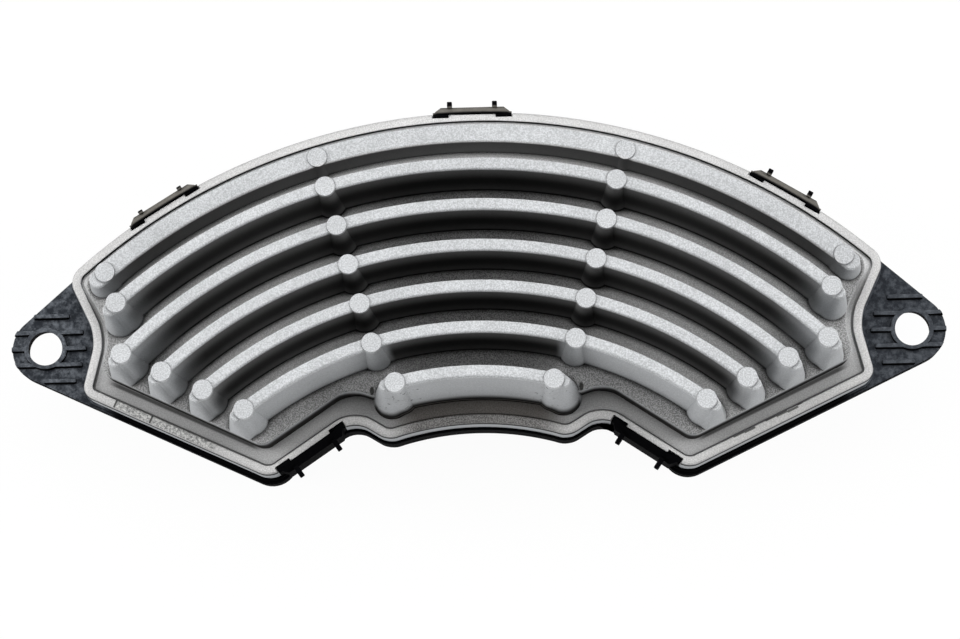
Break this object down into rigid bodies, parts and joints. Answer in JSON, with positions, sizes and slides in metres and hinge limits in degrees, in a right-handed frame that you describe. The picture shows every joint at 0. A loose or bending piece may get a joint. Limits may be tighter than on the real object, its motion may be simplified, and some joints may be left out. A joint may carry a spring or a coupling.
{
  "type": "blower motor resistor",
  "caption": "Arc-shaped blower motor resistor: a die-cast aluminium heat sink with concentric curved fins, snapped onto a black moulded housing with fixing ears and a connector socket.",
  "frame": {"origin": "midway between the two fixing holes, in the plane of the ear ribs that seat against the duct", "axes": "+X from one fixing hole to the other, +Y towards the long arc, +Z the way the fins point"},
  "size_m": [0.151, 0.0614, 0.0417],
  "materials": {
    "cast_aluminium": "blasted die casting with trimmed and scuffed edges",
    "black_plastic": "moulded, lightly scuffed",
    "board_laminate": "green solder resist",
    "device_resin": "moulded resin",
    "pad_rubber": "soft pad",
    "spring_steel": "rolled strip",
    "zinc_steel": "zinc plated",
    "can_sleeve": "shrunk sleeve",
    "ferrite": "pressed and sintered",
    "copper_wire": "enamelled copper",
    "resistance_alloy": "rolled strip",
    "fuse_ceramic": "glazed",
    "chip_resin": "moulded resin",
    "chip_ceramic": "fired ceramic",
    "tinned_brass": "tin plated"
  },
  "bodies": {
    "root": {"heat_sink": "cast_aluminium", "housing": "black_plastic", "circuit_board": "board_laminate", "left_transistor": "device_resin", "right_transistor": "device_resin", "freewheel_diode": "device_resin", "left_pad": "pad_rubber", "right_pad": "pad_rubber", "diode_pad": "pad_rubber", "left_clamp": "spring_steel", "right_clamp": "spring_steel", "diode_clamp": "spring_steel", "clamp_screws": "zinc_steel", "board_screws": "zinc_steel", "left_capacitor": "can_sleeve", "right_capacitor": "can_sleeve", "choke_core": "ferrite", "choke_winding": "copper_wire", "current_shunt": "resistance_alloy", "thermal_fuse": "fuse_ceramic", "driver_chip": "chip_resin", "suppressor_diode": "chip_resin", "chip_resistors": "chip_resin", "ceramic_capacitors": "chip_ceramic", "supply_blade": "tinned_brass", "ground_blade": "tinned_brass", "motor_feed_blade": "tinned_brass", "motor_return_blade": "tinned_brass", "control_pin": "tinned_brass"}
  },
  "joints": []
}
